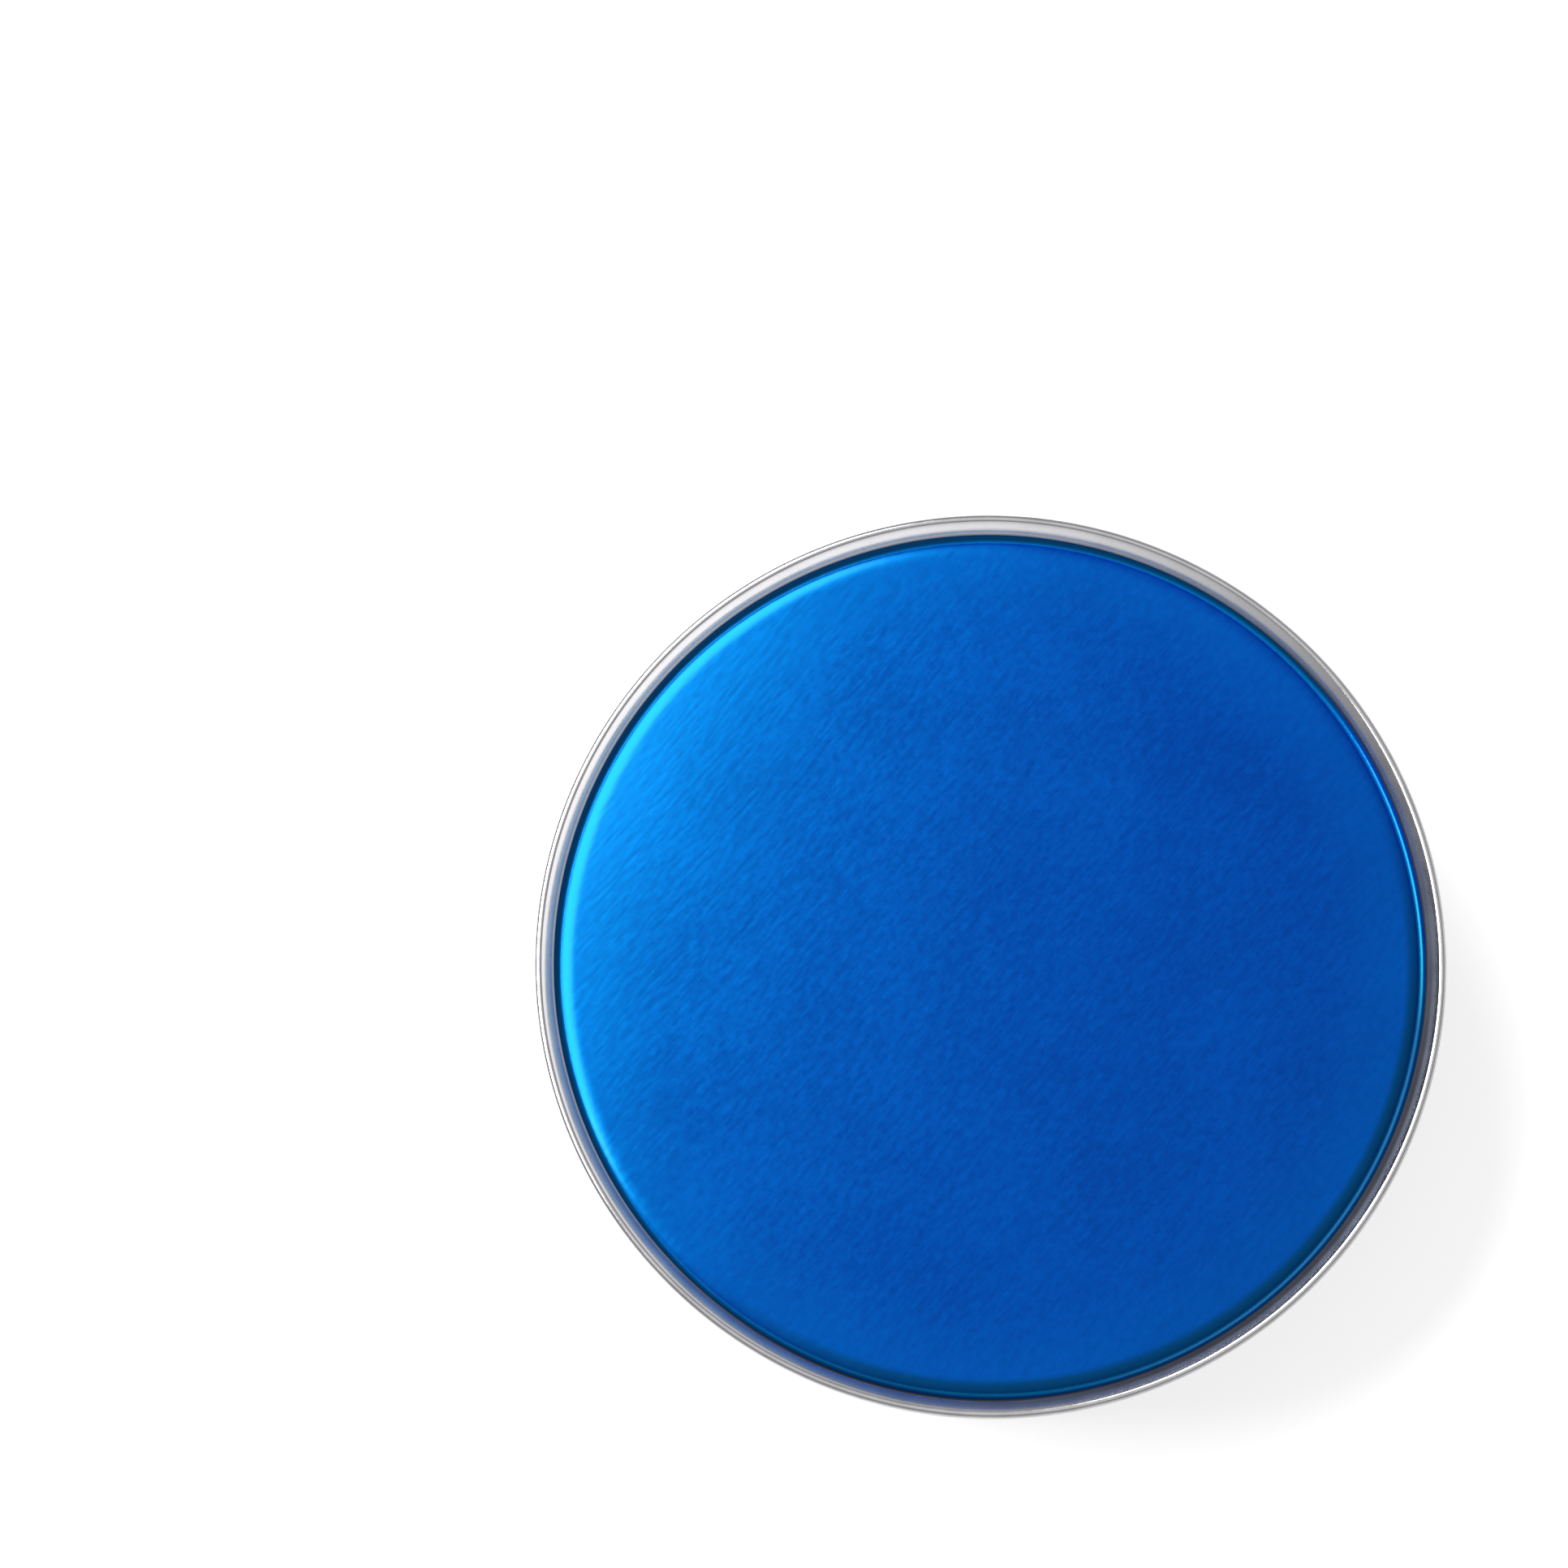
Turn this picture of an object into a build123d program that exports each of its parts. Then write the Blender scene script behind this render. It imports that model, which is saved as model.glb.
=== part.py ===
from math import ceil, cos, pi, radians, sin, tan
import os

from build123d import *

# A round slip-lid mint tin, standing closed on its foot. The origin is the middle of the foot, +Z up.
# All lengths are in millimetres and all angles in degrees.

# Whole tin
tin_diameter = 62.0  # over the bead of the lid
tin_height = 17.0  # foot to the crest of the bead
sheet = 0.2  # tinplate

# Lid rim: the bare metal band with its rolled bead
rim_width = 1.3  # band seen from above, from the seam to the outside of the bead
crest_radius = 0.3
wall_slope = 50  # inner wall of the bead, from level
bead_height = 1.9
skirt_inset = 0.5  # the skirt stands in from the bead
skirt_length = 7.0  # crest to the lower edge
edge_hem_width = 0.25
edge_hem_height = 0.8

# Seam: the panel's flange runs up behind the rim's hem
seam_gap = 0.02
flange_spare = 0.05  # hollow over the end of the flange

# Lid panel: the lacquered disc
shoulder_width = 0.85  # flat to the lowest line of the groove
groove_turn = 28  # steepest slope of the shoulder
groove_bend = 0.12
wall_bend = 0.7
groove_width = 0.5  # lowest line of the groove to the seam

# Base shell: the drawn can
lid_clearance = 0.2  # skirt to the mouth of the can, all round
seat_gap = 0.2  # underside of the lid to the mouth
mouth_hem_width = 0.8
mouth_hem_height = 1.1
edge_gap = 0.6  # lower edge of the lid to the shoulder of the can
corner_radius = 1.6
foot_width = 2.6
foot_recess = 0.5
recess_slope = 40

# Mints: flat tablets with bevelled edges, a ring of them round one in the middle
mint_diameter = 15.9
mint_thickness = 4.2
mint_bevel = 0.45
mint_gap = 0.05  # between a mint and the floor
mint_side_gap = 0.3  # least gap between neighbours and to the can
ring_count = 5
ring_turn = 14
drift_shares = (0.40, -0.90, 0.75, 0.95, -0.50)  # of the room to lie further out or in
sway_shares = (-0.80, 0.45, 0.90, -0.35, -0.95)  # of the room to lie to one side
middle_drift_share = -0.80

# Directions in the section of a piece, and the most that one flat of a bend turns
outward = 0
upward = 90
inward = 180
downward = -90
flat_turn = 45


def bend(centre, radius, start, end):
    """Points of a round bend about its centre, from one direction to another, in even flats."""
    flat_count = ceil(abs(end - start) / flat_turn)
    angles = [radians(start + (end - start) * flat / flat_count) for flat in range(flat_count + 1)]
    return [centre + Vector(cos(angle), sin(angle)) * radius for angle in angles]


# Radii and levels that the pieces share
tin_radius = tin_diameter / 2
seam_radius = tin_radius - rim_width
groove_radius = seam_radius - groove_width
flat_radius = groove_radius - shoulder_width
skirt_radius = tin_radius - skirt_inset
skirt_inner_radius = skirt_radius - sheet
bead_level = tin_height - bead_height
edge_level = tin_height - skirt_length

# The inner wall of the bead runs down from the crest to the hem's edge at the seam
up_wall = Vector(cos(radians(wall_slope)), sin(radians(wall_slope)))
into_wall = Vector(up_wall.Y, -up_wall.X)
crest_centre = Vector(tin_radius - crest_radius, tin_height - crest_radius)
wall_top = crest_centre - into_wall * crest_radius
seam = wall_top - up_wall * ((wall_top.X - seam_radius) / up_wall.X)
flange_face = sheet + seam_gap
flange_back = flange_face + sheet


def wall_point(along, into):
    """A point measured along the wall from the seam, and into the metal."""
    return seam + up_wall * along + into_wall * into


def wall_point_at_radius(radius, into):
    """The point at this radius on a line that runs beside the wall, into the metal."""
    start = wall_point(0, into)
    return start + up_wall * ((radius - start.X) / up_wall.X)


# The flange ends against the inside of the skirt, under a hollow in the bead
flange_end = wall_point_at_radius(skirt_inner_radius - seam_gap, flange_back)
flange_grip = (flange_end.X - wall_point(0, flange_back).X) / up_wall.X
hollow_top = wall_point(flange_grip + flange_spare, sheet)

# Lid rim
with BuildPart() as lid_rim:
    with BuildSketch(Plane.XZ):
        with BuildLine():
            Polyline(
                seam,
                wall_top,
                *bend(crest_centre, crest_radius, upward, outward),
                (tin_radius, bead_level),
                (skirt_radius, bead_level - skirt_inset),
                (skirt_radius, edge_level + edge_hem_height),
                (skirt_radius + edge_hem_width, edge_level + edge_hem_height - edge_hem_width),
                (skirt_radius + edge_hem_width, edge_level),
                (skirt_inner_radius, edge_level),
                (skirt_inner_radius, hollow_top.Y),
                hollow_top,
                wall_point(0, sheet),
                close=True,
            )
        make_face()
    revolve(axis=Axis.Z)

# Lid panel
wall_foot = wall_point_at_radius(groove_radius + wall_bend * into_wall.X, flange_face)
wall_bend_centre = wall_foot - into_wall * wall_bend
groove_level = wall_bend_centre.Y - wall_bend
lid_underside = groove_level - sheet
shoulder_bend = shoulder_width / sin(radians(groove_turn)) - groove_bend
panel_level = groove_level + (shoulder_bend + groove_bend) * (1 - cos(radians(groove_turn)))
shoulder_centre = Vector(flat_radius, panel_level - shoulder_bend)
groove_centre = Vector(groove_radius, groove_level + groove_bend)

with BuildPart() as lid_panel:
    with BuildSketch(Plane.XZ):
        with BuildLine():
            Polyline(
                (0, panel_level),
                *bend(shoulder_centre, shoulder_bend, upward, upward - groove_turn),
                *bend(groove_centre, groove_bend, downward - groove_turn, downward)[1:],
                *bend(wall_bend_centre, wall_bend, downward, downward + wall_slope)[1:],
                wall_point(flange_grip, flange_face),
                flange_end,
                *bend(wall_bend_centre, wall_bend + sheet, downward + wall_slope, downward),
                (flat_radius, panel_level - sheet),
                (0, panel_level - sheet),
                close=True,
            )
        make_face()
    revolve(axis=Axis.Z)

# Base shell
mouth_level = lid_underside - seat_gap
mouth_radius = skirt_inner_radius - lid_clearance
can_inner_radius = mouth_radius - mouth_hem_width
neck_radius = can_inner_radius + sheet
can_radius = skirt_radius
shoulder_level = edge_level - edge_gap
neck_level = shoulder_level + can_radius - neck_radius
mouth_round = mouth_hem_width / 2
mouth_centre = Vector(can_inner_radius + mouth_round, mouth_level - mouth_round)
corner_centre = Vector(can_radius - corner_radius, corner_radius)
recess_radius = corner_centre.X - foot_width
recess_run = foot_recess / tan(radians(recess_slope))
floor_level = foot_recess + sheet

with BuildPart() as base_shell:
    with BuildSketch(Plane.XZ):
        with BuildLine():
            Polyline(
                (0, foot_recess),
                (recess_radius - recess_run, foot_recess),
                (recess_radius, 0),
                *bend(corner_centre, corner_radius, downward, outward),
                (can_radius, shoulder_level),
                (neck_radius, neck_level),
                (neck_radius, mouth_level - mouth_hem_height),
                (mouth_radius, mouth_level - mouth_hem_height),
                *bend(mouth_centre, mouth_round, outward, inward),
                (can_inner_radius, neck_level),
                (can_radius - sheet, shoulder_level),
                *bend(corner_centre, corner_radius - sheet, outward, downward),
                (recess_radius, sheet),
                (recess_radius - recess_run, floor_level),
                (0, floor_level),
                close=True,
            )
        make_face()
    revolve(axis=Axis.Z)

# Mints
mint_radius = mint_diameter / 2
mint_pitch = mint_diameter + mint_side_gap
widest_ring = can_inner_radius - mint_side_gap - mint_radius
ring_radius = (widest_ring + mint_pitch) / 2
drift_room = max(widest_ring - mint_pitch, 0) / 3
nearest_ring = ring_radius - drift_room
sway_room = max(nearest_ring * sin(pi / ring_count) - mint_pitch / 2, 0)
mint_level = floor_level + mint_gap
mint_places = [(middle_drift_share * drift_room / 2, 0)]
for place, (drift_share, sway_share) in enumerate(zip(drift_shares, sway_shares)):
    radius = ring_radius + drift_share * drift_room
    angle = radians(place * 360 / ring_count + ring_turn) + sway_share * sway_room / ring_radius
    mint_places.append((radius * cos(angle), radius * sin(angle)))

with BuildPart() as mint:
    with BuildSketch(Plane.XZ):
        with BuildLine():
            Polyline(
                (0, 0),
                (mint_radius - mint_bevel, 0),
                (mint_radius, mint_bevel),
                (mint_radius, mint_thickness - mint_bevel),
                (mint_radius - mint_bevel, mint_thickness),
                (0, mint_thickness),
                close=True,
            )
        make_face()
    revolve(axis=Axis.Z)

os.makedirs("parts", exist_ok=True)

lid_rim.part.label = "lid_rim"
export_step(lid_rim.part, "parts/lid_rim.step")

lid_panel.part.label = "lid_panel"
export_step(lid_panel.part, "parts/lid_panel.step")

base_shell.part.label = "base_shell"
export_step(base_shell.part, "parts/base_shell.step")

for number, (x, y) in enumerate(mint_places, start=1):
    tablet = Pos(x, y, mint_level) * mint.part
    tablet.label = f"mint_{number}"
    export_step(tablet, f"parts/mint_{number}.step")

print("mints at", round(ring_radius, 3), "with room", round(drift_room, 3), "and", round(sway_room, 3))
print("panel", round(panel_level, 3), "groove", round(groove_level, 3), "mouth", round(mouth_level, 3))
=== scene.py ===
import math
import random

import bpy
from mathutils import Matrix, Vector


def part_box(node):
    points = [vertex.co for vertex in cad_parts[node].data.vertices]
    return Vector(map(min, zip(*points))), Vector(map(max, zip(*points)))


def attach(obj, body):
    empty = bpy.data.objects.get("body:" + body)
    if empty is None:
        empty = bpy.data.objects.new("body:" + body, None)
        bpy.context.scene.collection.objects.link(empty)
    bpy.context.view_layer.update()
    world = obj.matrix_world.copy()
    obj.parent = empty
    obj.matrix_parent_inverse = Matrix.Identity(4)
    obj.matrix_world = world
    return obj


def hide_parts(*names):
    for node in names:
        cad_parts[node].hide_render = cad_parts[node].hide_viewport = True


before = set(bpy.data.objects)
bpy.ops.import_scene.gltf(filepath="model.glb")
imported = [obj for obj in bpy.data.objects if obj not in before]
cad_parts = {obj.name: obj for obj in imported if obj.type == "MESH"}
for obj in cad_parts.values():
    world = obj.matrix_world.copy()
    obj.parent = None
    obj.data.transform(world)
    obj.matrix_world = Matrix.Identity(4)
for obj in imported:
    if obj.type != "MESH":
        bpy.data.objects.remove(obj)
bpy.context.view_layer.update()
mm = 0.001
scene = bpy.context.scene
print("frame loaded:", ", ".join(sorted(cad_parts)))

# Sizes that the pieces share, in millimetres and degrees
tin = {
    "radius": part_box("lid_rim")[1].x / mm,
    "height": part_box("lid_rim")[1].z / mm,
    "lidEdge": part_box("lid_rim")[0].z / mm,
    "mouth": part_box("base_shell")[1].z / mm,
    "sheet": 0.2,
    "bandWidth": 1.3,      # bare band seen from above
    "wallSlope": 50.0,     # inner wall of the bead, from level
    "crestRadius": 0.3,
    "flangeFace": 0.22,    # the disc's flange lies this deep behind the wall
    "seamGap": 0.02,
    "grooveWidth": 0.38,   # lowest line of the groove to the seam
    "wallBend": 0.45,      # bend from the groove up into the flange
    "skirtInset": 0.5,
    "lidClearance": 0.2,
}
seamRadius = tin["radius"] - tin["bandWidth"]
grooveRadius = seamRadius - tin["grooveWidth"]
skirtRadius = tin["radius"] - tin["skirtInset"]
skirtInner = skirtRadius - tin["sheet"]

# Directions in a section
outward, upward, inward, downward = 0, 90, 180, 270
halfTurn = 180


def polar(angle):
    return math.cos(math.radians(angle)), math.sin(math.radians(angle))


def shifted(point, direction, distance):
    return point[0] + direction[0] * distance, point[1] + direction[1] * distance


def angleOf(x, y):
    return math.degrees(math.atan2(y, x))


# The inner wall of the bead, in section: up along it, and into the metal
upWall = polar(tin["wallSlope"])
intoWall = (upWall[1], -upWall[0])
crestCentre = (tin["radius"] - tin["crestRadius"], tin["height"] - tin["crestRadius"])
wallTop = shifted(crestCentre, intoWall, -tin["crestRadius"])
seam = shifted(wallTop, upWall, -(wallTop[0] - seamRadius) / upWall[0])


def wallPoint(along, into):
    return shifted(shifted(seam, upWall, along), intoWall, into)


def wallPointAtRadius(radius, into):
    start = wallPoint(0, into)
    return shifted(start, upWall, (radius - start[0]) / upWall[0])


# Modelling helpers

mergeDistance = 0.002    # millimetres
smoothAngle = 32.0       # degrees; a sharper edge stays sharp


def arc(centre, radius, start, end, finest=7.0):
    # points of a round bend in a section, both ends included
    steps = max(2, math.ceil(abs(end - start) / finest))
    turns = [start + (end - start) * step / steps for step in range(steps + 1)]
    return [shifted(centre, polar(turn), radius) for turn in turns]


def rounded(corners, finest=12.0):
    # corners are (radius, height, fillet); each one with a fillet becomes an arc
    points = []
    count = len(corners)
    for index, (x, y, fillet) in enumerate(corners):
        if not fillet:
            points.append((x, y))
            continue
        before, after = corners[index - 1], corners[(index + 1) % count]
        a = (before[0] - x, before[1] - y)
        b = (after[0] - x, after[1] - y)
        a = shifted((0, 0), a, 1 / math.hypot(*a))
        b = shifted((0, 0), b, 1 / math.hypot(*b))
        half = math.acos(max(-1.0, min(1.0, a[0] * b[0] + a[1] * b[1]))) / 2
        middle = (a[0] + b[0], a[1] + b[1])
        middle = shifted((0, 0), middle, 1 / math.hypot(*middle))
        centre = shifted((x, y), middle, fillet / math.sin(half))
        first = shifted((x, y), a, fillet / math.tan(half))
        last = shifted((x, y), b, fillet / math.tan(half))
        start = angleOf(first[0] - centre[0], first[1] - centre[1])
        turn = angleOf(last[0] - centre[0], last[1] - centre[1]) - start
        turn = (turn + halfTurn) % (2 * halfTurn) - halfTurn
        points += arc(centre, fillet, start, start + turn, finest)
    return points


def turnOnLathe(name, section, sides, closed):
    # a ring is extruded along the section; a closed section ends where it starts
    bpy.ops.object.select_all(action="DESELECT")
    radius, level = section[0]
    bpy.ops.mesh.primitive_circle_add(vertices=sides, radius=radius * mm, location=(0, 0, level * mm))
    piece = bpy.context.object
    piece.name = name
    bpy.ops.object.transform_apply(location=True, rotation=True, scale=True)
    bpy.ops.object.mode_set(mode="EDIT")
    bpy.ops.mesh.select_all(action="SELECT")
    for nextRadius, nextLevel in section[1:] + (section[:1] if closed else []):
        lift = {"value": (0, 0, (nextLevel - level) * mm)}
        bpy.ops.mesh.extrude_region_move(TRANSFORM_OT_translate=lift)
        ratio = nextRadius / radius
        bpy.ops.transform.resize(value=(ratio, ratio, 1), center_override=(0, 0, 0))
        radius, level = nextRadius, nextLevel
    if not closed:
        bpy.ops.mesh.edge_face_add()
    bpy.ops.mesh.select_all(action="SELECT")
    bpy.ops.mesh.remove_doubles(threshold=mergeDistance * mm)
    if not closed:
        # the hole round the axis, on the side where the section starts
        bpy.ops.mesh.select_all(action="DESELECT")
        bpy.ops.mesh.select_non_manifold(extend=False)
        bpy.ops.mesh.edge_face_add()
    bpy.ops.mesh.select_all(action="SELECT")
    bpy.ops.mesh.normals_make_consistent(inside=False)
    bpy.ops.object.mode_set(mode="OBJECT")
    return piece


def finishPiece(piece, body, nodes):
    bpy.ops.object.select_all(action="DESELECT")
    piece.select_set(True)
    bpy.context.view_layer.objects.active = piece
    bpy.ops.object.shade_smooth_by_angle(angle=math.radians(smoothAngle))
    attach(piece, body)
    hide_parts(*nodes)
    print("piece", piece.name, "faces", len(piece.data.polygons))


# Shader helpers

class Value:
    # one output socket, with operators that add the nodes for them
    def __init__(self, recipe, socket):
        self.recipe, self.socket = recipe, socket

    def maths(self, operation, *terms):
        return self.recipe.add("ShaderNodeMath", {"operation": operation}, dict(enumerate(terms)))

    def __add__(self, other):
        return self.maths("ADD", self, other)

    def __radd__(self, other):
        return self.maths("ADD", other, self)

    def __sub__(self, other):
        return self.maths("SUBTRACT", self, other)

    def __rsub__(self, other):
        return self.maths("SUBTRACT", other, self)

    def __mul__(self, other):
        return self.maths("MULTIPLY", self, other)

    def __rmul__(self, other):
        return self.maths("MULTIPLY", other, self)

    def between(self, low, high):
        # 0 at low, 1 at high, smooth in between
        sockets = {"Value": self, "From Min": low, "From Max": high}
        return self.recipe.add("ShaderNodeMapRange", {"interpolation_type": "SMOOTHSTEP"}, sockets)


class Recipe:
    # the nodes of one material, or of the world
    def __init__(self, owner, shaderType="BSDF_PRINCIPLED"):
        self.owner = owner
        owner.use_nodes = True
        self.tree = owner.node_tree
        self.shader = next(node for node in self.tree.nodes if node.type == shaderType)

    def add(self, kind, settings, sockets, output=0):
        node = self.tree.nodes.new(kind)
        for name, setting in settings.items():
            setattr(node, name, setting)
        self.connect(node, sockets)
        return Value(self, node.outputs[output])

    def connect(self, node, sockets):
        for name, value in sockets.items():
            if isinstance(value, Value):
                self.tree.links.new(value.socket, node.inputs[name])
            else:
                node.inputs[name].default_value = value

    def place(self, turn=0.0, stretch=(1.0, 1.0, 1.0)):
        # object coordinates in millimetres, turned about the tin's axis and stretched
        spot = self.add("ShaderNodeTexCoord", {}, {}, "Object")
        spot = self.add("ShaderNodeMapping", {}, {"Vector": spot, "Rotation": (0, 0, math.radians(-turn))})
        scale = tuple(1 / (mm * share) for share in stretch)
        return self.add("ShaderNodeMapping", {}, {"Vector": spot, "Scale": scale})

    def part(self, vector, axis):
        return self.add("ShaderNodeSeparateXYZ", {}, {"Vector": vector}, axis)

    def towards(self, turn):
        # how far a point lies from the tin's axis in one direction, in millimetres
        return self.part(self.place(turn), "X")

    def radius(self):
        # distance from the tin's axis in millimetres; heights are shrunk to next to nothing
        spot = self.place(stretch=(1.0, 1.0, 1000.0))
        return self.add("ShaderNodeVectorMath", {"operation": "LENGTH"}, {0: spot}, "Value")

    def noise(self, vector, size, detail=2.0, roughness=0.5):
        # size is the width of one blotch, in the units of the vector
        sockets = {"Vector": vector, "Scale": 1 / size, "Detail": detail, "Roughness": roughness}
        return self.add("ShaderNodeTexNoise", {}, sockets)

    def blend(self, factor, low, high):
        # a colour between two colours; 6, 7 and 2 are the Mix node's colour sockets
        sockets = {"Factor": factor, 6: low, 7: high}
        return self.add("ShaderNodeMix", {"data_type": "RGBA"}, sockets, 2)

    def bump(self, height, depth, below=None):
        # height runs from 0 to 1 over depth millimetres
        sockets = {"Height": height, "Distance": depth * mm, "Strength": 1.0}
        if below:
            sockets["Normal"] = below
        return self.add("ShaderNodeBump", {}, sockets)

    def finish(self, **sockets):
        named = {name.replace("_", " "): value for name, value in sockets.items()}
        self.connect(self.shader, named)
        return self.owner


def shared(first, second, share):
    # this share of the first value, and the rest of the second
    return first * share + second * (1 - share)


# Blue lacquer over tinplate: satin, with short soft streaks that run diagonally across the disc

lacquer = {
    "deep": (0.0, 0.0, 0.325, 1),
    "bright": (0.0, 0.024, 0.425, 1),
    "contrast": (0.3, 0.7),
    "streakTurn": 48.0,
    "streakLength": 1.1,
    "streakWidth": 0.30,
    "streakDetail": 3.0,
    "streakHarshness": 0.55,
    "streakShare": 0.6,                # the rest is mottle
    "mottleSize": 0.5,
    "cloudSize": 9.0,
    "cloudDetail": 1.0,
    "cloudShare": 0.25,
    "rippleSize": 0.6,
    "rippleDepth": 0.007,
    "edge": (0.0, 0.055, 0.46, 1),     # painted sheen: a little paler towards the rim
    "edgeShare": 0.4,
    "edgeReach": (22.0, 28.5),         # radii
    "paintedGrooveShade": (0.0, 0.048, 0.165, 1),   # painted shade in the groove, but for one unshaded stretch
    "paintedGrooveShadeShare": 0.9,
    "paintedGrooveShadeReach": (-0.03, 0.20),       # outwards from the lowest line of the groove
    "unshadedTurn": 15.0,
    "unshadedAlong": (26.5, 29.0),
    "paintedShoulderShade": (0.0, 0.0, 0.105, 1),      # painted shade on one stretch of the shoulder
    "paintedShoulderShadeShare": 0.8,
    "paintedShoulderShadeTurn": -55.0,
    "paintedShoulderShadeAlong": (4.0, 22.0),
    "paintedShoulderShadeReach": (28.25, 28.85),       # radii
    "gleam": (0.0, 0.70, 0.32, 1),     # tint of what it mirrors
    "roughness": 0.25,
    "toneRoughness": 0.05,
    "paintedGrooveShadeRoughness": 0.25,
    "metallic": 0.4,
    "paintedGrooveShadeMetallic": 0.4,
    "ior": 2.6,
    "coat": 0.08,
    "coatRoughness": 0.12,
}


def makeLacquer():
    recipe = Recipe(bpy.data.materials.new("blueLacquer"))
    along = recipe.place(lacquer["streakTurn"], (lacquer["streakLength"], lacquer["streakWidth"], 1.0))
    plain = recipe.place()
    streak = recipe.noise(along, 1.0, lacquer["streakDetail"], lacquer["streakHarshness"])
    mottle = recipe.noise(plain, lacquer["mottleSize"])
    cloud = recipe.noise(plain, lacquer["cloudSize"], lacquer["cloudDetail"])
    grain = shared(streak, mottle, lacquer["streakShare"])
    tone = shared(cloud, grain, lacquer["cloudShare"]).between(*lacquer["contrast"])
    softStreak, softMottle = recipe.noise(along, 1.0, 0.0), recipe.noise(plain, lacquer["rippleSize"], 0.0)
    ripple = shared(softStreak, softMottle, lacquer["streakShare"])
    radius = recipe.radius()
    # painted shade: the groove is coloured darker, and made rougher, except along one stretch
    unshadedStretch = recipe.towards(lacquer["unshadedTurn"]).between(*lacquer["unshadedAlong"])
    paintedGrooveShade = radius.between(*[grooveRadius + reach for reach in lacquer["paintedGrooveShadeReach"]]) * (1 - unshadedStretch)
    # painted shade: one stretch of the shoulder, on one side of the disc, is coloured darker
    paintedShoulderShade = radius.between(*lacquer["paintedShoulderShadeReach"])
    paintedShoulderShade = paintedShoulderShade * recipe.towards(lacquer["paintedShoulderShadeTurn"]).between(*lacquer["paintedShoulderShadeAlong"])
    colour = recipe.blend(tone, lacquer["deep"], lacquer["bright"])
    # painted sheen: the colour is paler towards the rim
    paler = radius.between(*lacquer["edgeReach"]) * lacquer["edgeShare"]
    colour = recipe.blend(paler, colour, lacquer["edge"])
    colour = recipe.blend(paintedGrooveShade * lacquer["paintedGrooveShadeShare"], colour, lacquer["paintedGrooveShade"])
    colour = recipe.blend(paintedShoulderShade * lacquer["paintedShoulderShadeShare"], colour, lacquer["paintedShoulderShade"])
    roughness = lacquer["roughness"] + (tone - 0.5) * lacquer["toneRoughness"]
    return recipe.finish(
        Base_Color=colour,
        Roughness=roughness + paintedGrooveShade * lacquer["paintedGrooveShadeRoughness"],
        Metallic=lacquer["metallic"] + paintedGrooveShade * lacquer["paintedGrooveShadeMetallic"],
        IOR=lacquer["ior"],
        Specular_Tint=lacquer["gleam"],
        Coat_Weight=lacquer["coat"],
        Coat_Roughness=lacquer["coatRoughness"],
        Normal=recipe.bump(ripple, lacquer["rippleDepth"]),
    )


# Bare tinplate: satin metal with faint lines from rolling and turning

tinplate = {
    "light": (0.90, 0.89, 0.91, 1),
    "dull": (0.80, 0.79, 0.82, 1),
    "paintedShadeSides": (0.39, 0.39, 0.40, 1),  # the sides, inside and underneath, painted darker than the bead's top: painted shade
    "paintedShadeSidesDeep": (0.32, 0.32, 0.33, 1),
    "contrast": (0.3, 0.7),
    "blotchSize": 2.4,
    "blotchDetail": 3.0,
    "blotchHarshness": 0.55,
    "blotchShare": 0.6,
    "fineSize": 0.12,
    "lineStretch": (9.0, 9.0, 0.12),
    "lineDetail": 1.0,
    "lineShare": 0.9,
    "lineDepth": 0.0010,
    "paintedLitBeadLevels": (14.6, 15.6),
    "paintedLitBeadReach": (30.82, 30.93),       # radii where the bead's painted bright top ends
    "paintedSeamShade": (0.055, 0.045, 0.05, 1),   # painted shade in the seam, and up the wall on one side
    "paintedSeamShadeLevels": (15.0, 15.5),
    "paintedSeamShadeTurn": -40.0,
    "foldReach": (0.12, 0.24),         # outwards from the seam, as is the next
    "wallReach": (0.30, 0.80),
    "foldShade": 0.45,                  # at its weakest, opposite the shaded side
    "foldAlong": (-15.0, 10.0),
    "wallShade": 0.93,
    "wallAlong": (8.0, 28.0),
    "roughness": 0.15,
    "sideRoughness": 0.12,
    "paintedSeamShadeRoughness": 0.4,
    "blotchRoughness": 0.12,
    "fineRoughness": 0.06,
}


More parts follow.
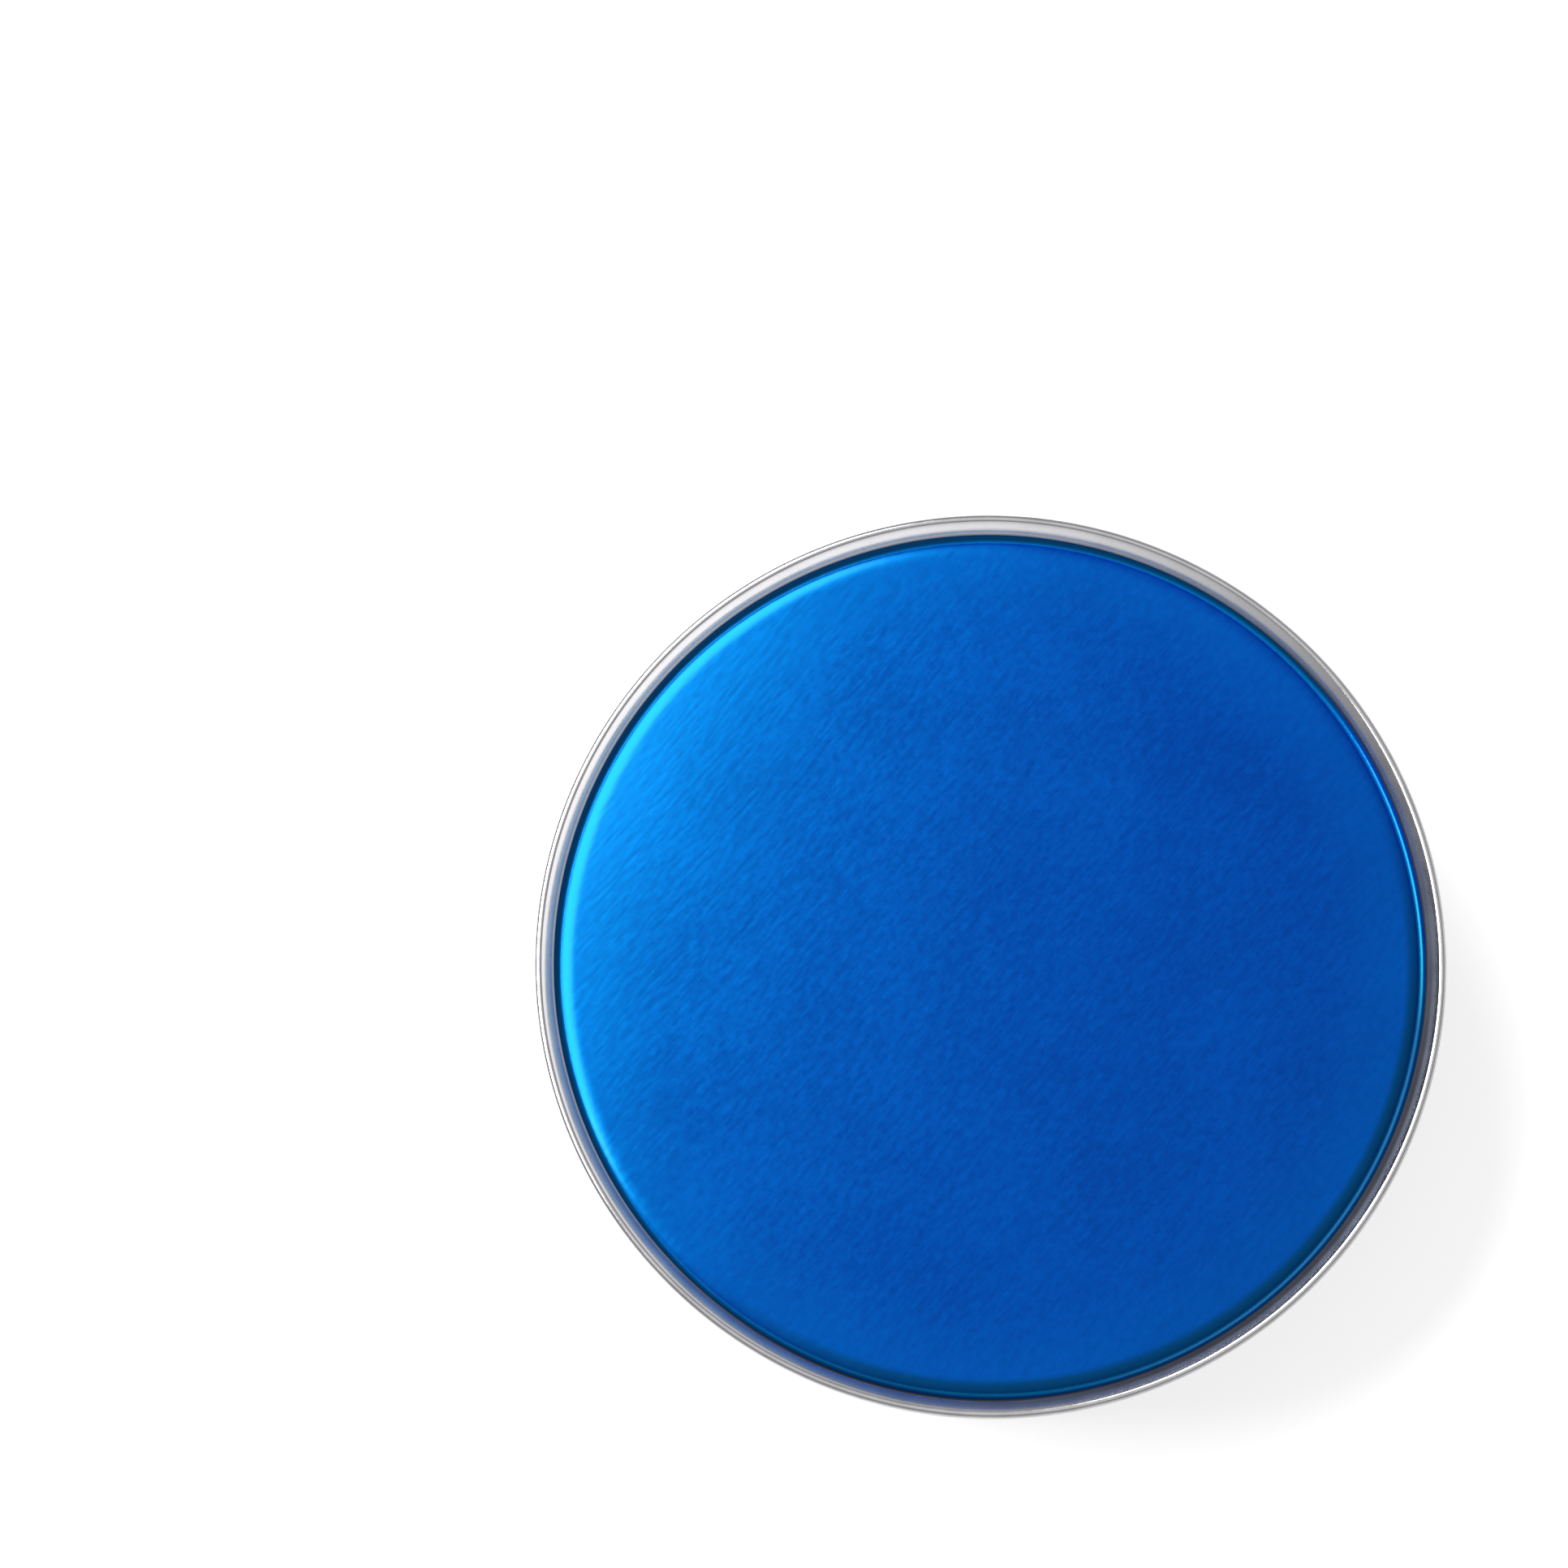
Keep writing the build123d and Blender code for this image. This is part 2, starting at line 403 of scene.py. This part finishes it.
def makeTinplate():
    recipe = Recipe(bpy.data.materials.new("tinplate"))
    plain = recipe.place()
    lines = recipe.noise(recipe.place(0.0, tinplate["lineStretch"]), 1.0, tinplate["lineDetail"])
    blotch = recipe.noise(
        plain, tinplate["blotchSize"], tinplate["blotchDetail"], tinplate["blotchHarshness"]
    )
    fine = recipe.noise(plain, tinplate["fineSize"])
    tone = shared(blotch, fine, tinplate["blotchShare"]).between(*tinplate["contrast"])
    height, radius = recipe.part(plain, "Z"), recipe.radius()
    paintedLitBead = height.between(*tinplate["paintedLitBeadLevels"]) * (1 - radius.between(*tinplate["paintedLitBeadReach"]))
    onFold, onWall = [
        1 - radius.between(*[seamRadius + reach for reach in reaches])
        for reaches in (tinplate["foldReach"], tinplate["wallReach"])
    ]
    # painted shade: the fold at the seam is coloured dark all round, most on one side, and the wall above
    # it on that side too
    shadedSide, least = recipe.towards(tinplate["paintedSeamShadeTurn"]), tinplate["foldShade"]
    onFold = onFold * (least + shadedSide.between(*tinplate["foldAlong"]) * (1 - least))
    onWall = onWall * shadedSide.between(*tinplate["wallAlong"]) * tinplate["wallShade"]
    paintedSeamShade = onFold.maths("MAXIMUM", onFold, onWall) * height.between(*tinplate["paintedSeamShadeLevels"])
    # painted light and shade: the bead's top is coloured light, the sides, inside and underneath dark
    paintedShadeSidesColour = recipe.blend(tone, tinplate["paintedShadeSidesDeep"], tinplate["paintedShadeSides"])
    paintedLitBeadColour = recipe.blend(tone, tinplate["dull"], tinplate["light"])
    colour = recipe.blend(paintedLitBead, paintedShadeSidesColour, paintedLitBeadColour)
    colour = recipe.blend(paintedSeamShade, colour, tinplate["paintedSeamShade"])
    roughness = tinplate["roughness"] + (1 - paintedLitBead) * tinplate["sideRoughness"]
    roughness = roughness + paintedSeamShade * tinplate["paintedSeamShadeRoughness"]
    roughness = roughness + (blotch - 0.5) * tinplate["blotchRoughness"]
    roughness = roughness + (fine - 0.5) * tinplate["fineRoughness"]
    normal = recipe.bump(shared(lines, fine, tinplate["lineShare"]), tinplate["lineDepth"])
    return recipe.finish(Base_Color=colour, Roughness=roughness, Metallic=1.0, Normal=normal)


# Pressed mint: chalky, fine grained, darker in small pits

mintFinish = {
    "pale": (0.80, 0.80, 0.80, 1),
    "shade": (0.70, 0.70, 0.70, 1),
    "pitDark": (0.22, 0.22, 0.22, 1),
    "pitDarkShare": 0.7,
    "contrast": (0.3, 0.7),
    "grainSize": 0.14,
    "grainDetail": 3.0,
    "grainHarshness": 0.6,
    "grainShare": 0.5,
    "grainDepth": 0.03,
    "cloudSize": 3.5,
    "pitSpacing": 1.9,
    "pitRadius": 0.085,
    "pitFloor": 0.5,       # share of its radius
    "pitDepth": 0.1,
    "roughness": 0.85,
    "ior": 1.45,
}


def makeMint():
    recipe = Recipe(bpy.data.materials.new("pressedMint"))
    plain = recipe.place()
    grain = recipe.noise(
        plain, mintFinish["grainSize"], mintFinish["grainDetail"], mintFinish["grainHarshness"]
    )
    cloud = recipe.noise(plain, mintFinish["cloudSize"])
    tone = shared(grain, cloud, mintFinish["grainShare"]).between(*mintFinish["contrast"])
    spots = recipe.add(
        "ShaderNodeTexVoronoi",
        {"feature": "F1"},
        {"Vector": plain, "Scale": 1 / mintFinish["pitSpacing"], "Randomness": 1.0},
    )
    reach = mintFinish["pitRadius"] / mintFinish["pitSpacing"]
    pit = 1 - spots.between(reach * mintFinish["pitFloor"], reach)
    colour = recipe.blend(tone, mintFinish["shade"], mintFinish["pale"])
    # the small pits are coloured darker
    colour = recipe.blend(pit * mintFinish["pitDarkShare"], colour, mintFinish["pitDark"])
    normal = recipe.bump(grain, mintFinish["grainDepth"])
    return recipe.finish(
        Base_Color=colour,
        Roughness=mintFinish["roughness"],
        Metallic=0.0,
        IOR=mintFinish["ior"],
        Normal=recipe.bump(1 - pit, mintFinish["pitDepth"], normal),
    )


lacquerMaterial = makeLacquer()
tinplateMaterial = makeTinplate()
mintMaterial = makeMint()
print("materials made")

# Lid rim: hem at the seam, bead, skirt and rolled lower edge

rim = {
    "sides": 256,
    "beadSide": 15.1,      # level where the side of the bead starts to curl in
    "crestTurn": 44.0,     # slope of the inner wall where it meets the crest; it is steeper at the seam
    "curlTurn": 80.0,
    "foldRadius": 0.105,
    "hemHeight": 0.8,
    "hemWidth": 0.25,
    "hemFillet": 0.15,
    "flangeSpare": 0.05,   # hollow over the end of the flange
}
flangeBack = tin["flangeFace"] + tin["sheet"]
flangeEnd = wallPointAtRadius(skirtInner - tin["seamGap"], flangeBack)
flangeGrip = (flangeEnd[0] - wallPoint(0, flangeBack)[0]) / upWall[0]


def bulgedWall(start):
    # a round face from the fold at the seam that runs into the crest
    out = polar(upward + rim["crestTurn"])
    crest = tin["crestRadius"]
    reach = (start[0] - crestCentre[0], start[1] - crestCentre[1])
    along = reach[0] * out[0] + reach[1] * out[1]
    radius = (math.hypot(*reach) ** 2 + crest ** 2 - 2 * crest * along) / (2 * (crest - along))
    centre = shifted(crestCentre, out, crest - radius)
    first = angleOf(start[0] - centre[0], start[1] - centre[1])
    return arc(centre, radius, first, upward + rim["crestTurn"], finest=2.0)


def makeRim():
    # the folded edge at the seam is a little thicker than the sheet and stands proud of the wall
    foldRadius, sunk = rim["foldRadius"], tin["sheet"] - rim["foldRadius"]
    meeting = math.degrees(math.acos(sunk / foldRadius))
    behind = tin["wallSlope"] - upward
    fold = arc(wallPoint(foldRadius, sunk), foldRadius, behind, behind - halfTurn - meeting)
    wall = bulgedWall(fold[-1])
    crest = arc(crestCentre, tin["crestRadius"], upward + rim["crestTurn"], outward)[1:]
    curlCentre = (crestCentre[0], rim["beadSide"])
    curl = arc(curlCentre, tin["crestRadius"], outward, outward - rim["curlTurn"])
    out = polar(outward - rim["curlTurn"])
    neckRadius = (curl[-1][0] - skirtRadius) / (1 - out[0])
    neckCentre = shifted(curl[-1], out, neckRadius)
    neck = arc(neckCentre, neckRadius, inward - rim["curlTurn"], inward)
    hemOuter = skirtRadius + rim["hemWidth"]
    hemTop = tin["lidEdge"] + rim["hemHeight"]
    hemRound = (hemOuter - skirtInner) / 2
    hemCentre = (skirtInner + hemRound, tin["lidEdge"] + hemRound)
    lower = rounded([
        (skirtRadius, neck[-1][1], 0),
        (skirtRadius, hemTop, rim["hemFillet"]),
        (hemOuter, hemTop - rim["hemWidth"], rim["hemFillet"]),
        (hemOuter, hemCentre[1], 0),
    ])[1:]
    turned = arc(hemCentre, hemRound, outward, outward - halfTurn, finest=15.0)[1:]
    hollowTop = wallPoint(flangeGrip + rim["flangeSpare"], tin["sheet"])
    hollow = [(skirtInner, hollowTop[1]), hollowTop]
    section = fold[:-1] + wall + crest + curl + neck[1:] + lower + turned + hollow
    piece = turnOnLathe("lidRimBand", section, rim["sides"], True)
    piece.data.materials.append(tinplateMaterial)
    finishPiece(piece, "lid", ["lid_rim"])


# Lid panel: lacquered disc with a soft shoulder and a narrow groove, its flange behind the rim's hem

panel = {
    "sides": 256,
    "shoulderWidth": 1.1,
    "shoulderTurn": 20.0,
    "shoulderSteps": 14,
    "grooveBend": 0.12,
    "rings": (0.2, 6.0, 12.0, 18.0, 24.0),    # radii that divide the flat part
    "underTilt": -0.05,    # faces that look further down than this are bare metal
}


def makePanel():
    sheet = tin["sheet"]
    turn, groove = panel["shoulderTurn"], panel["grooveBend"]
    width, steps = panel["shoulderWidth"], panel["shoulderSteps"]
    foot = wallPointAtRadius(grooveRadius + tin["wallBend"] * intoWall[0], tin["flangeFace"])
    wallCentre = shifted(foot, intoWall, -tin["wallBend"])
    grooveCentre = (grooveRadius, wallCentre[1] - tin["wallBend"] + groove)
    # the shoulder starts flat and falls with the cube of the way, so it gets steeper towards the groove
    last = shifted(grooveCentre, polar(downward - turn), groove)
    steepest = math.tan(math.radians(turn))
    drop = width * steepest / 3
    level = last[1] + drop
    shares = [step / steps for step in range(steps + 1)]
    shoulder = [(last[0] - width * (1 - share), level - drop * share ** 3) for share in shares]
    slopes = [math.degrees(math.atan(steepest * share ** 2)) for share in shares]
    shoulderUnder = [
        shifted(point, polar(downward - slope), sheet) for point, slope in zip(shoulder, slopes)
    ]
    wallTurn = downward + tin["wallSlope"]
    top = [(radius, level) for radius in panel["rings"]] + shoulder
    top += arc(grooveCentre, groove, downward - turn, downward, finest=8.0)[1:]
    top += arc(wallCentre, tin["wallBend"], downward, wallTurn, finest=6.0)[1:]
    top += [wallPoint(flangeGrip, tin["flangeFace"])]
    under = [flangeEnd]
    under += arc(wallCentre, tin["wallBend"] + sheet, wallTurn, downward, finest=8.0)
    under += arc(grooveCentre, groove + sheet, downward, downward - turn, finest=10.0)[1:]
    under += shoulderUnder[-2::-1]
    under += [(radius, level - sheet) for radius in reversed(panel["rings"])]
    piece = turnOnLathe("lidPanelDisc", top + under, panel["sides"], False)
    piece.data.materials.append(lacquerMaterial)
    piece.data.materials.append(tinplateMaterial)
    for face in piece.data.polygons:
        if face.normal.z < panel["underTilt"]:
            face.material_index = 1
    finishPiece(piece, "lid", ["lid_panel"])


# Base shell: drawn can with a recessed floor, a stepped neck and a hemmed mouth

can = {
    "sides": 256,
    "footWidth": 2.6,
    "footRound": 0.3,
    "recess": 0.5,
    "recessSlope": 40.0,
    "recessRound": 0.5,
    "cornerRadius": 1.6,
    "edgeGap": 0.6,
    "shoulderRound": 0.5,
    "hemWidth": 0.8,
    "hemHeight": 1.1,
    "hemCorner": 0.05,     # where the hem meets the neck
    "hemEdge": 0.3,
    "hemFullness": 0.98,   # roundness of its top
    "rings": (0.2, 8.0, 16.0),    # radii that divide the floor
}


def makeCan():
    sheet = tin["sheet"]
    bodyRadius = skirtRadius
    mouthRadius = skirtInner - tin["lidClearance"]
    innerRadius = mouthRadius - can["hemWidth"]
    neckRadius = innerRadius + sheet
    shoulder = tin["lidEdge"] - can["edgeGap"]
    neck = shoulder + bodyRadius - neckRadius
    hemFoot = tin["mouth"] - can["hemHeight"]
    hemRound = can["hemWidth"] / 2 * can["hemFullness"]
    footOuter = bodyRadius - can["cornerRadius"]
    footInner = footOuter - can["footWidth"]
    recessEdge = footInner - can["recess"] / math.tan(math.radians(can["recessSlope"]))
    floorLevel = can["recess"] + sheet
    outside = [(radius, can["recess"], 0) for radius in can["rings"]] + [
        (recessEdge, can["recess"], can["recessRound"]),
        (footInner, 0, can["footRound"]),
        (bodyRadius, 0, can["cornerRadius"]),
        (bodyRadius, shoulder, can["shoulderRound"]),
        (neckRadius, neck, can["shoulderRound"]),
        (neckRadius, hemFoot, can["hemCorner"]),
        (mouthRadius, hemFoot, can["hemEdge"]),
        (mouthRadius, tin["mouth"], hemRound),
        (innerRadius, tin["mouth"], hemRound),
    ]
    inside = [
        (innerRadius, neck, can["shoulderRound"]),
        (bodyRadius - sheet, shoulder, can["shoulderRound"]),
        (bodyRadius - sheet, sheet, can["cornerRadius"] - sheet),
        (footInner, sheet, can["footRound"]),
        (recessEdge, floorLevel, can["recessRound"]),
    ] + [(radius, floorLevel, 0) for radius in reversed(can["rings"])]
    piece = turnOnLathe("canShell", rounded(outside + inside, finest=9.0), can["sides"], False)
    piece.data.materials.append(tinplateMaterial)
    finishPiece(piece, "base", ["base_shell"])


# Mints: one tablet is turned, then copied, and each copy gets its own turn and its own chips

mint = {
    "sides": 120,
    "bevel": 0.42,
    "bevelRound": 0.12,
    "pole": 0.2,           # radius of the small face in the middle
    "ringShare": 0.5,      # radius of the ring that divides its faces, of its own radius
    "chips": 7,
    "chipReach": 0.70,
    "leastReach": 0.5,     # shares of the full reach and depth
    "chipDepth": 0.10,
    "leastDepth": 0.4,
    "seed": 11,
}


def makeMints():
    nodes = sorted(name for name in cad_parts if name.startswith("mint_"))
    low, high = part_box(nodes[0])
    radius = (high.x - low.x) / 2 / mm
    thick = (high.z - low.z) / mm
    bevel, soft = mint["bevel"], mint["bevelRound"]
    corners = [
        (mint["pole"], 0, 0),
        (radius * mint["ringShare"], 0, 0),
        (radius - bevel, 0, soft),
        (radius, bevel, soft),
        (radius, thick - bevel, soft),
        (radius - bevel, thick, soft),
        (radius * mint["ringShare"], thick, 0),
        (mint["pole"], thick, 0),
    ]
    tablet = turnOnLathe("mintTablet", rounded(corners), mint["sides"], False)
    tablet.data.materials.append(mintMaterial)
    chance = random.Random(mint["seed"])
    for number, node in enumerate(nodes, start=1):
        low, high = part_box(node)
        piece = tablet.copy()
        piece.data = tablet.data.copy()
        piece.name = f"mintTablet_{number}"
        scene.collection.objects.link(piece)
        chipMint(piece, chance, radius, thick)
        bpy.ops.object.select_all(action="DESELECT")
        piece.select_set(True)
        bpy.context.view_layer.objects.active = piece
        piece.rotation_euler.z = chance.uniform(0, math.tau)
        piece.location = ((low.x + high.x) / 2, (low.y + high.y) / 2, low.z)
        bpy.ops.object.transform_apply(location=True, rotation=True, scale=True)
        finishPiece(piece, "base", [node])
    bpy.data.objects.remove(tablet)


def chipMint(piece, chance, radius, thick):
    # small bites out of the top and bottom edges, pushed in towards the middle of the tablet
    for _ in range(mint["chips"]):
        turn = chance.uniform(0, math.tau)
        level = chance.choice((0, thick))
        reach = mint["chipReach"] * chance.uniform(mint["leastReach"], 1.0)
        depth = mint["chipDepth"] * chance.uniform(mint["leastDepth"], 1.0)
        spot = (radius * math.cos(turn), radius * math.sin(turn), level)
        for vertex in piece.data.vertices:
            away = math.dist([part / mm for part in vertex.co], spot)
            if away < reach:
                push = depth * (1 - away / reach) * mm
                vertex.co.x -= math.cos(turn) * push
                vertex.co.y -= math.sin(turn) * push


makeRim()
makePanel()
makeCan()
makeMints()
print("pieces made")

# Floor, lights, room and camera

black, white = (0, 0, 0, 1), (1, 1, 1, 1)

stage = {
    "floorSize": 6.0,      # metres
    "floorDrop": 0.02,     # millimetres under the foot
    "floorColour": (0.86, 0.86, 0.87, 1),
    "roughness": 0.9,
    "glow": 0.6,
}


def makeFloor():
    # it glows where it is seen or mirrored, and lights nothing
    bpy.ops.object.select_all(action="DESELECT")
    bpy.ops.mesh.primitive_plane_add(size=stage["floorSize"], location=(0, 0, -stage["floorDrop"] * mm))
    floor = bpy.context.object
    floor.name = "floor"
    recipe = Recipe(bpy.data.materials.new("floorPaper"))
    seen = recipe.add("ShaderNodeLightPath", {}, {}, "Is Camera Ray")
    mirrored = recipe.add("ShaderNodeLightPath", {}, {}, "Is Glossy Ray")
    through = recipe.add("ShaderNodeLightPath", {}, {}, "Is Transmission Ray")
    floor.data.materials.append(recipe.finish(
        Base_Color=stage["floorColour"],
        Roughness=stage["roughness"],
        Emission_Color=recipe.blend(seen + mirrored + through, black, white),
        Emission_Strength=stage["glow"],
    ))


# places and sizes in metres
lights = {
    "softbox": {"place": (-0.100, 0.060, 0.170), "size": (0.24, 0.14), "radiance": 7.5},
    "lamp": {"place": (-0.118, -0.036, 0.165), "size": (0.03, 0.03), "radiance": 6.5},
}


def makeLights():
    # each one faces the tin; its power follows from its area
    for name, facts in lights.items():
        lamp = bpy.data.lights.new(name, "AREA")
        lamp.shape = "ELLIPSE"
        lamp.size, lamp.size_y = facts["size"]
        lamp.energy = facts["radiance"] * math.pi * (math.pi / 4 * lamp.size * lamp.size_y)
        holder = bpy.data.objects.new(name, lamp)
        holder.visible_camera = False
        scene.collection.objects.link(holder)
        holder.location = facts["place"]
        aim = -holder.location
        aim.z += tin["height"] * mm
        holder.rotation_euler = aim.to_track_quat("-Z", "Y").to_euler()


room = {
    "overhead": 0.58,
    "overheadReach": (0.7, 1.04),   # how far up a direction points, as is the next
    "horizonReach": (0.12, 0.5),
    "middle": 0.26,                 # halfway up
    "middleSwing": 0.03,
    "level": 0.60,                  # at the horizon, between the bright side and the dark one
    "swing": 0.59,                  # more than that on the bright side, and as much less opposite
    "brightSide": -30.0,
}


def makeWorld():
    scene.world = bpy.data.worlds.new("studio")
    recipe = Recipe(scene.world, "BACKGROUND")
    direction = recipe.add("ShaderNodeTexCoord", {}, {}, "Generated")
    right, ahead, height = [recipe.part(direction, axis) for axis in "XYZ"]
    side = polar(room["brightSide"])
    bright = right * side[0] + ahead * side[1]
    around = room["level"] + bright * room["swing"]
    middle = room["middle"] - bright * room["middleSwing"]
    sky = middle + (room["overhead"] - middle) * height.between(*room["overheadReach"])
    strength = around + (sky - around) * height.between(*room["horizonReach"])
    recipe.finish(Color=white, Strength=strength)


photo = {
    "side": 1932,             # pixels, as are the next two
    "tinMiddle": (1218.8, 1181.2),
    "tinAcross": 1122,
    "leanNear": 7.7,          # degrees from straight up, towards the viewer
    "leanLeft": 1.2,
    "lens": 100.0,
    "sensor": 36.0,
    "clip": (0.01, 50.0),     # metres
}


def makeCamera():
    camera = bpy.data.cameras.new("camera")
    camera.lens = photo["lens"]
    camera.sensor_width = photo["sensor"]
    holder = bpy.data.objects.new("camera", camera)
    scene.collection.objects.link(holder)
    scene.camera = holder
    pixel = 2 * tin["radius"] * mm / photo["tinAcross"]
    away = photo["side"] * pixel * camera.lens / camera.sensor_width
    # the leans are those of the line from the bead to the camera, which looks past the tin
    acrossBy = (photo["tinMiddle"][0] - photo["side"] / 2) * pixel
    downBy = (photo["tinMiddle"][1] - photo["side"] / 2) * pixel
    leftBy = math.tan(math.radians(photo["leanLeft"])) - acrossBy / away
    nearBy = math.tan(math.radians(photo["leanNear"])) + downBy / away
    towards = Vector((-leftBy, -nearBy, 1)).normalized()
    right = Vector((0, 1, 0)).cross(towards).normalized()
    up = towards.cross(right)
    middle = Vector((0, 0, crestCentre[1] * mm))
    holder.location = middle + towards * away - right * acrossBy + up * downBy
    holder.rotation_euler = Matrix((right, up, towards)).transposed().to_euler()
    camera.clip_start, camera.clip_end = photo["clip"]


makeFloor()
makeLights()
makeWorld()
makeCamera()
scene.view_settings.view_transform = "Standard"
print("stage made")
